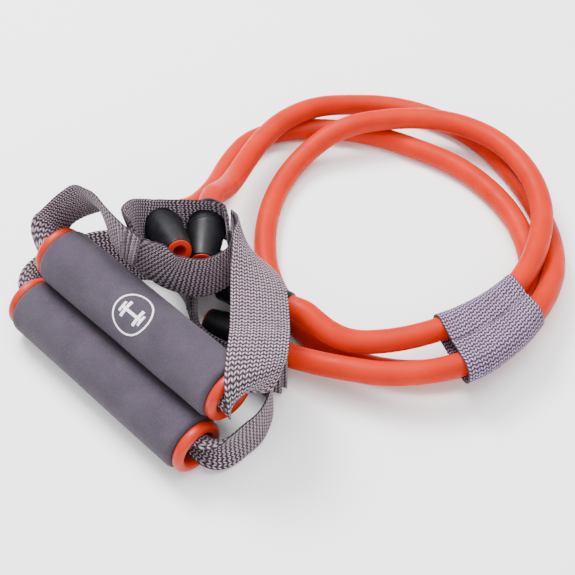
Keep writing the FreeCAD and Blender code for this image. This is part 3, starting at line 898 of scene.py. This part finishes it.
def sleeve_outline(gap, radius, waist):
    """Closed outline round two tubes gap apart, as (across from the inner tube, up)."""
    outline = []
    for k in range(WRAP_STEPS + 1):
        angle = math.radians(-WRAP + 2 * WRAP * k / WRAP_STEPS)
        outline.append((gap + radius * math.cos(angle), radius * math.sin(angle)))
    start, height = outline[-1]
    end = gap - start
    for k in range(1, SPAN_STEPS):
        t = k / SPAN_STEPS
        across = start + (end - start) * t
        sag = math.sin(math.pi * t)
        seam = math.exp(-((across - gap / 2) / 1.0) ** 2)
        up = height * (1 - sag) + waist * sag - STITCH_DIP * seam
        outline.append((across, up))
    top = outline[WRAP_STEPS + 1:]
    for k in range(WRAP_STEPS + 1):
        angle = math.radians(180 - WRAP + 2 * WRAP * k / WRAP_STEPS)
        outline.append((radius * math.cos(angle), radius * math.sin(angle)))
    outline += [(across, -up) for across, up in top[::-1]]
    return np.array(outline)


def make_sleeve():
    """Hollow sleeve of webbing, seamed down the middle."""
    inner = np.array([s[0] for s in SLEEVE_STATIONS], float)
    outer = np.array([s[1] for s in SLEEVE_STATIONS], float)
    places = np.linspace(0, len(SLEEVE_STATIONS) - 1, 85)
    inner = catmull(inner, places)
    outer = catmull(outer, places)
    steps = np.diff((inner + outer) / 2, axis=0)
    run = np.concatenate([[0], np.cumsum(np.linalg.norm(steps, axis=1))])
    skins = []
    uvs = []
    for radius, waist in ((SLEEVE_R, WAIST), (SLEEVE_R - SLEEVE_THICK, WAIST - SLEEVE_THICK)):
        for i in range(len(places)):
            gap = float(np.linalg.norm(outer[i] - inner[i]))
            across = (outer[i] - inner[i]) / gap
            outline = sleeve_outline(gap, radius, waist)
            steps = np.linalg.norm(np.diff(outline, axis=0, append=outline[:1]), axis=1)
            girth = np.concatenate([[0], np.cumsum(steps)[:-1]])
            columns = np.full(len(outline), run[i] / COLUMN_WIDTH)
            picks = girth / WEB_PICK
            end = min(run[i], run[-1] - run[i])
            flare = 0.15 * math.exp(-end / 2.5)
            out = units(outline - np.array([gap / 2, 0]))
            sized = outline + out * (WEAVE_RELIEF * (weave(columns, picks) - 0.5) + flare)[:, None]
            skins.append(inner[i] + across * sized[:, :1] + np.array([0, 0, 1.0]) * sized[:, 1:])
            uvs.append(np.stack([columns, picks], 1))
    ring = len(skins[0])
    rows = len(places)
    faces = []
    for skin, turn in ((0, 1), (rows, -1)):
        for i in range(rows - 1):
            a = (skin + i) * ring
            b = a + ring
            faces += [(a + j, a + (j + 1) % ring, b + (j + 1) % ring, b + j)[::turn]
                      for j in range(ring)]
    for i, turn in ((0, 1), (rows - 1, -1)):
        a = i * ring
        b = (i + rows) * ring
        faces += [(a + j, b + j, b + (j + 1) % ring, a + (j + 1) % ring)[::turn]
                  for j in range(ring)]
    sleeve = make_piece("keeper_sleeve_webbing", np.concatenate(skins), faces, SLEEVE_MATERIAL,
                        "root", np.concatenate(uvs))
    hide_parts("keeper_sleeve")
    seam = []
    for i in range(4, rows - 6, STITCH_STEP):
        middle = (inner[i] + outer[i]) / 2
        ahead = (inner[i + STITCH_STEP] + outer[i + STITCH_STEP]) / 2
        for side in (1, -1):
            lift = np.array([0, 0, side * (WAIST - STITCH_DIP + 0.3)])
            up = np.array([0, 0, float(side)])
            vertices, threads = stitch(middle + lift, ahead + lift, up)
            seam.append((vertices, threads, np.zeros((len(vertices), 2))))
    vertices, threads, _ = joined(seam)
    stitches = make_piece("keeper_sleeve_seam", vertices, threads, THREAD_MATERIAL,
                          "root")
    return sleeve, stitches


sleeve, sleeve_seam = make_sleeve()

# ---------------------------------------------------------------- generic mark on the upper grip
MARK_X = 3.6
MARK_ANGLE = math.radians(24)    # from +Z towards -Y
MARK_R = 11.5
MARK_LINE = 0.9
MARK_THICK = 0.12
MARK_SINK = 0.15
MARK_BARS = (                # the dumbbell: x from, x to, y from, y to
    (-6.8, 6.8, -0.8, 0.8), (-5.4, -3.6, -4.6, 4.6), (3.6, 5.4, -4.6, 4.6),
    (-7.6, -6.2, -2.9, 2.9), (6.2, 7.6, -2.9, 2.9))


def wrapped(flat):
    """Flat (x, y) points laid on the foam's surface, both skins of a thin print."""
    skins = []
    for lift in (-MARK_SINK, MARK_THICK):
        for x, y in flat:
            angle = MARK_ANGLE + y / GRIP_R
            reach = GRIP_R + lift
            skins.append((UPPER_CENTRE[0] + MARK_X + x,
                          UPPER_CENTRE[1] - reach * math.sin(angle),
                          UPPER_CENTRE[2] + reach * math.cos(angle)))
    return np.array(skins)


def print_band(left, right, closed):
    """A printed strip between two rows of flat points."""
    count = len(left)
    flat = left + right
    total = len(flat)
    quads = []
    for i in range(count if closed else count - 1):
        n = (i + 1) % count
        a, b, c, d = i, n, count + n, count + i
        quads.append((a + total, b + total, c + total, d + total))
        quads.append((d, c, b, a))
        quads.append((a, b, b + total, a + total))
        quads.append((d + total, c + total, c, d))
    if not closed:
        a, d = 0, count
        quads.append((a, a + total, d + total, d))
        a, d = count - 1, 2 * count - 1
        quads.append((d, d + total, a + total, a))
    vertices = wrapped(flat)
    return vertices, quads, np.zeros((len(vertices), 2))


def print_bar(x0, x1, y0, y1):
    """A printed rectangle."""
    steps = 12
    ys = [y0 + (y1 - y0) * k / steps for k in range(steps + 1)]
    return print_band([(x0, y) for y in ys], [(x1, y) for y in ys], False)


def circle(radius, steps=96):
    """Flat circle."""
    return [(radius * math.cos(math.tau * k / steps), radius * math.sin(math.tau * k / steps))
            for k in range(steps)]


mark_parts = [print_band(circle(MARK_R), circle(MARK_R - MARK_LINE), True)]
mark_parts += [print_bar(*bar) for bar in MARK_BARS]
mark_vertices, mark_faces, _ = joined(mark_parts)
make_piece("grip_mark", mark_vertices, mark_faces, PRINT_MATERIAL, "upper_grip")

# ---------------------------------------------------------------- floor and light
bpy.ops.mesh.primitive_plane_add(size=12, location=(0, 0, 0))
floor = bpy.context.object
floor.name = "floor"
floor_shader = Shader("pale_floor", Specular_IOR_Level=0.2)
floor_shader.colour(floor_shader.ramp(
    floor_shader.noise(3, 2), (0.3, (0.95, 0.95, 0.95)), (0.7, (0.97, 0.97, 0.97))))
floor_shader.rough(0.9)
floor.data.materials.append(floor_shader.material)

world = bpy.data.worlds.new("studio")
world.use_nodes = True
background = world.node_tree.nodes["Background"]
background.inputs["Color"].default_value = (1, 1, 1, 1)
background.inputs["Strength"].default_value = 1.25
bpy.context.scene.world = world


def make_light(name, place, target, size, power):
    """A square soft box."""
    light = bpy.data.lights.new(name, "AREA")
    light.size = size
    light.energy = power
    item = bpy.data.objects.new(name, light)
    item.location = place
    item.rotation_euler = (Vector(target) - Vector(place)).to_track_quat("-Z", "Y").to_euler()
    collection.objects.link(item)


CENTRE = (0.03, 0.13, 0.02)
make_light("key", (-0.75, 0.25, 1.1), CENTRE, 0.5, 34)
make_light("top", (0.1, 0.3, 1.5), CENTRE, 1.2, 26)
make_light("front", (0.7, -0.7, 0.7), CENTRE, 0.8, 5)
